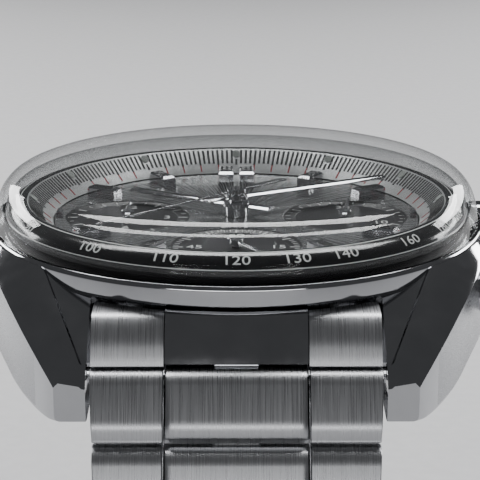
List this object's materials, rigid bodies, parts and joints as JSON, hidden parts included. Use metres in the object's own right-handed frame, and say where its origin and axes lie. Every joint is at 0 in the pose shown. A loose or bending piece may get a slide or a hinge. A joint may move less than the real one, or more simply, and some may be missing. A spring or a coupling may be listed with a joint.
{
  "type": "chronograph wristwatch",
  "caption": "Steel chronograph wristwatch with domed glass-box crystal, tachymeter ring, silver dial with black subdials, pushers, and a hinged link bracelet with folding clasp.",
  "frame": {"origin": "centre of the case back's outer face", "axes": "+Z out through the dial and crystal, +Y towards 12 o'clock, +X towards 3 o'clock, where the crown is"},
  "size_m": [0.0431, 0.0572, 0.0553],
  "materials": {
    "case_steel": "long-grain brushed flanks with polished bevels",
    "bracelet_steel": "brushed lengthways, polished edges",
    "polished_steel": "polished",
    "sapphire": "clear, domed",
    "black_flange": "black outside, silver inside",
    "silver_dial": "silver sunray with black subdials",
    "gasket_rubber": "matt",
    "rhodium_plate": "rhodium plated, striped",
    "gilt_brass": "gilt",
    "hand_metal": "polished rhodium with black line"
  },
  "bodies": {
    "case": {"case_middle": "case_steel", "case_back": "case_steel", "case_back_glass": "sapphire", "case_back_gasket": "gasket_rubber", "crystal": "sapphire", "crystal_gasket": "gasket_rubber", "tachymeter_flange": "black_flange", "dial": "silver_dial", "movement_holder": "rhodium_plate", "mainplate": "rhodium_plate", "train_bridge": "rhodium_plate", "balance_cock": "rhodium_plate", "rotor_bearing": "polished_steel", "crown_tube": "case_steel", "pusher_tube_start": "case_steel", "pusher_tube_reset": "case_steel", "end_link_12": "bracelet_steel", "end_link_6": "bracelet_steel", "spring_bar_12": "polished_steel", "spring_bar_6": "polished_steel"},
    "keyless_works": {"setting_lever": "polished_steel"},
    "crown": {"crown": "case_steel", "winding_stem": "polished_steel"},
    "pusher_start": {"pusher_start": "case_steel"},
    "pusher_reset": {"pusher_reset": "case_steel"},
    "small_seconds_hand": {"small_seconds_hand": "hand_metal"},
    "minute_hand": {"minute_hand": "hand_metal"},
    "hour_hand": {"hour_hand": "hand_metal"},
    "chrono_seconds_hand": {"chrono_seconds_hand": "hand_metal"},
    "minute_counter_hand": {"minute_counter_hand": "hand_metal"},
    "hour_counter_hand": {"hour_counter_hand": "hand_metal"},
    "fourth_wheel": {"fourth_wheel": "gilt_brass"},
    "escape_wheel": {"escape_wheel": "polished_steel"},
    "mainspring_barrel": {"mainspring_barrel": "gilt_brass"},
    "balance_wheel": {"balance_wheel": "gilt_brass"},
    "pallet_fork": {"pallet_fork": "polished_steel"},
    "column_wheel": {"column_wheel": "polished_steel"},
    "rotor": {"rotor": "rhodium_plate"},
    "link_12_1": {"link_12_1": "bracelet_steel"},
    "link_12_2": {"link_12_2": "bracelet_steel"},
    "link_12_3": {"link_12_3": "bracelet_steel"},
    "link_12_4": {"link_12_4": "bracelet_steel"},
    "link_12_5": {"link_12_5": "bracelet_steel"},
    "link_12_6": {"link_12_6": "bracelet_steel"},
    "link_12_7": {"link_12_7": "bracelet_steel"},
    "link_12_8": {"link_12_8": "bracelet_steel"},
    "link_6_1": {"link_6_1": "bracelet_steel"},
    "link_6_2": {"link_6_2": "bracelet_steel"},
    "link_6_3": {"link_6_3": "bracelet_steel"},
    "link_6_4": {"link_6_4": "bracelet_steel"},
    "link_6_5": {"link_6_5": "bracelet_steel"},
    "link_6_6": {"link_6_6": "bracelet_steel"},
    "link_6_7": {"link_6_7": "bracelet_steel"},
    "link_6_8": {"link_6_8": "bracelet_steel"},
    "clasp_cover": {"clasp_cover": "bracelet_steel"},
    "clasp_blade_outer": {"clasp_blade_outer": "polished_steel"},
    "clasp_blade_inner": {"clasp_blade_inner": "polished_steel"},
    "clasp_button_3": {"clasp_button_3": "polished_steel"},
    "clasp_button_9": {"clasp_button_9": "polished_steel"}
  },
  "joints": [
    {"name": "crown_pull", "type": "slide", "parent": "case", "child": "keyless_works", "axis": [1, 0, 0], "range_m": [0, 0.001]},
    {"name": "crown_turn", "type": "hinge", "parent": "keyless_works", "child": "crown", "pos_m": [0.0216, 0, 0.0062], "axis": [1, 0, 0], "continuous": true},
    {"name": "press_start", "type": "slide", "parent": "case", "child": "pusher_start", "axis": [-1, 0, 0], "range_m": [0, 0.0009], "stiffness_N_per_m": 3000, "springref_m": -0.0006},
    {"name": "press_reset", "type": "slide", "parent": "case", "child": "pusher_reset", "axis": [-1, 0, 0], "range_m": [0, 0.0009], "stiffness_N_per_m": 3000, "springref_m": -0.0006},
    {"name": "small_seconds", "type": "hinge", "parent": "case", "child": "small_seconds_hand", "pos_m": [0, -0.0087, 0.00985], "axis": [0, 0, -1], "continuous": true},
    {"name": "minutes", "type": "hinge", "parent": "case", "child": "minute_hand", "pos_m": [0, 0, 0.0111], "axis": [0, 0, -1], "continuous": true},
    {"name": "hours", "type": "hinge", "parent": "case", "child": "hour_hand", "pos_m": [0, 0, 0.0105], "axis": [0, 0, -1], "continuous": true},
    {"name": "chrono_seconds", "type": "hinge", "parent": "case", "child": "chrono_seconds_hand", "pos_m": [0, 0, 0.0116], "axis": [0, 0, -1], "continuous": true},
    {"name": "chrono_minutes", "type": "hinge", "parent": "case", "child": "minute_counter_hand", "pos_m": [0.0087, 0, 0.00985], "axis": [0, 0, -1], "continuous": true},
    {"name": "chrono_hours", "type": "hinge", "parent": "case", "child": "hour_counter_hand", "pos_m": [-0.0087, 0, 0.00985], "axis": [0, 0, -1], "continuous": true},
    {"name": "fourth_wheel_turn", "type": "hinge", "parent": "case", "child": "fourth_wheel", "pos_m": [0, -0.0046, 0.0056], "axis": [0, 0, -1], "continuous": true},
    {"name": "escape_wheel_turn", "type": "hinge", "parent": "case", "child": "escape_wheel", "pos_m": [0.0012, -0.0089, 0.0063], "axis": [0, 0, -1], "continuous": true},
    {"name": "barrel_turn", "type": "hinge", "parent": "case", "child": "mainspring_barrel", "pos_m": [-0.0066, 0.0052, 0.0056], "axis": [0, 0, -1], "continuous": true},
    {"name": "balance_swing", "type": "hinge", "parent": "case", "child": "balance_wheel", "pos_m": [0.0064, -0.0072, 0.0055], "axis": [0, 0, 1], "range_deg": [-150, 150], "stiffness_Nm_per_rad": 0.0000003},
    {"name": "pallet_rock", "type": "hinge", "parent": "case", "child": "pallet_fork", "pos_m": [0.003, -0.0106, 0.0066], "axis": [0, 0, 1], "range_deg": [-6, 6]},
    {"name": "column_wheel_turn", "type": "hinge", "parent": "case", "child": "column_wheel", "pos_m": [0.0046, 0.0096, 0.006], "axis": [0, 0, 1], "continuous": true},
    {"name": "rotor_turn", "type": "hinge", "parent": "case", "child": "rotor", "pos_m": [0, 0, 0.0032], "axis": [0, 0, 1], "continuous": true},
    {"name": "row_12_1", "type": "hinge", "parent": "case", "child": "link_12_1", "pos_m": [0, 0.0214, 0.00295], "axis": [-1, 0, 0], "range_deg": [-31, 0]},
    {"name": "row_12_2", "type": "hinge", "parent": "link_12_1", "child": "link_12_2", "pos_m": [0, 0.02392, -0.0016], "axis": [-1, 0, 0], "range_deg": [-9, 0]},
    {"name": "row_12_3", "type": "hinge", "parent": "link_12_2", "child": "link_12_3", "pos_m": [0, 0.0257, -0.00648], "axis": [-1, 0, 0], "range_deg": [-9, 0]},
    {"name": "row_12_4", "type": "hinge", "parent": "link_12_3", "child": "link_12_4", "pos_m": [0, 0.02669, -0.01159], "axis": [-1, 0, 0], "range_deg": [-9, 0]},
    {"name": "row_12_5", "type": "hinge", "parent": "link_12_4", "child": "link_12_5", "pos_m": [0, 0.02687, -0.01679], "axis": [-1, 0, 0], "range_deg": [-10, 0]},
    {"name": "row_12_6", "type": "hinge", "parent": "link_12_5", "child": "link_12_6", "pos_m": [0, 0.02615, -0.02194], "axis": [-1, 0, 0], "range_deg": [-10, 0]},
    {"name": "row_12_7", "type": "hinge", "parent": "link_12_6", "child": "link_12_7", "pos_m": [0, 0.02454, -0.02688], "axis": [-1, 0, 0], "range_deg": [-12, 0]},
    {"name": "row_12_8", "type": "hinge", "parent": "link_12_7", "child": "link_12_8", "pos_m": [0, 0.02194, -0.03138], "axis": [-1, 0, 0], "range_deg": [-15, 0]},
    {"name": "row_6_1", "type": "hinge", "parent": "case", "child": "link_6_1", "pos_m": [0, -0.0214, 0.00295], "axis": [1, 0, 0], "range_deg": [-31, 0]},
    {"name": "row_6_2", "type": "hinge", "parent": "link_6_1", "child": "link_6_2", "pos_m": [0, -0.02392, -0.0016], "axis": [1, 0, 0], "range_deg": [-9, 0]},
    {"name": "row_6_3", "type": "hinge", "parent": "link_6_2", "child": "link_6_3", "pos_m": [0, -0.0257, -0.00648], "axis": [1, 0, 0], "range_deg": [-9, 0]},
    {"name": "row_6_4", "type": "hinge", "parent": "link_6_3", "child": "link_6_4", "pos_m": [0, -0.02669, -0.01159], "axis": [1, 0, 0], "range_deg": [-9, 0]},
    {"name": "row_6_5", "type": "hinge", "parent": "link_6_4", "child": "link_6_5", "pos_m": [0, -0.02687, -0.01679], "axis": [1, 0, 0], "range_deg": [-10, 0]},
    {"name": "row_6_6", "type": "hinge", "parent": "link_6_5", "child": "link_6_6", "pos_m": [0, -0.02615, -0.02194], "axis": [1, 0, 0], "range_deg": [-10, 0]},
    {"name": "row_6_7", "type": "hinge", "parent": "link_6_6", "child": "link_6_7", "pos_m": [0, -0.02454, -0.02688], "axis": [1, 0, 0], "range_deg": [-12, 0]},
    {"name": "row_6_8", "type": "hinge", "parent": "link_6_7", "child": "link_6_8", "pos_m": [0, -0.02194, -0.03138], "axis": [1, 0, 0], "range_deg": [-15, 0]},
    {"name": "clasp_cover_hinge", "type": "hinge", "parent": "link_6_8", "child": "clasp_cover", "pos_m": [0, -0.01827, -0.03506], "axis": [1, 0, 0], "range_deg": [-20, 0]},
    {"name": "clasp_open", "type": "hinge", "parent": "clasp_cover", "child": "clasp_blade_outer", "pos_m": [0, 0.01515, -0.03619], "axis": [1, 0, 0], "range_deg": [-85, 0]},
    {"name": "clasp_unfold", "type": "hinge", "parent": "clasp_blade_outer", "child": "clasp_blade_inner", "pos_m": [0, -0.01229, -0.03668], "axis": [-1, 0, 0], "range_deg": [-60, 0]},
    {"name": "press_clasp_3", "type": "slide", "parent": "clasp_cover", "child": "clasp_button_3", "axis": [-1, 0, 0], "range_m": [0, 0.0004], "stiffness_N_per_m": 1500, "springref_m": -0.0004},
    {"name": "press_clasp_9", "type": "slide", "parent": "clasp_cover", "child": "clasp_button_9", "axis": [1, 0, 0], "range_m": [0, 0.0004], "stiffness_N_per_m": 1500, "springref_m": -0.0004}
  ],
  "couplings": [
    {"joint": "small_seconds", "follows": "fourth_wheel_turn", "ratio": 1},
    {"joint": "minutes", "follows": "fourth_wheel_turn", "ratio": 0.016667},
    {"joint": "hours", "follows": "fourth_wheel_turn", "ratio": 0.0013889},
    {"joint": "escape_wheel_turn", "follows": "fourth_wheel_turn", "ratio": -16},
    {"joint": "chrono_minutes", "follows": "chrono_seconds", "ratio": 0.033333},
    {"joint": "chrono_hours", "follows": "chrono_seconds", "ratio": 0.0013889}
  ]
}
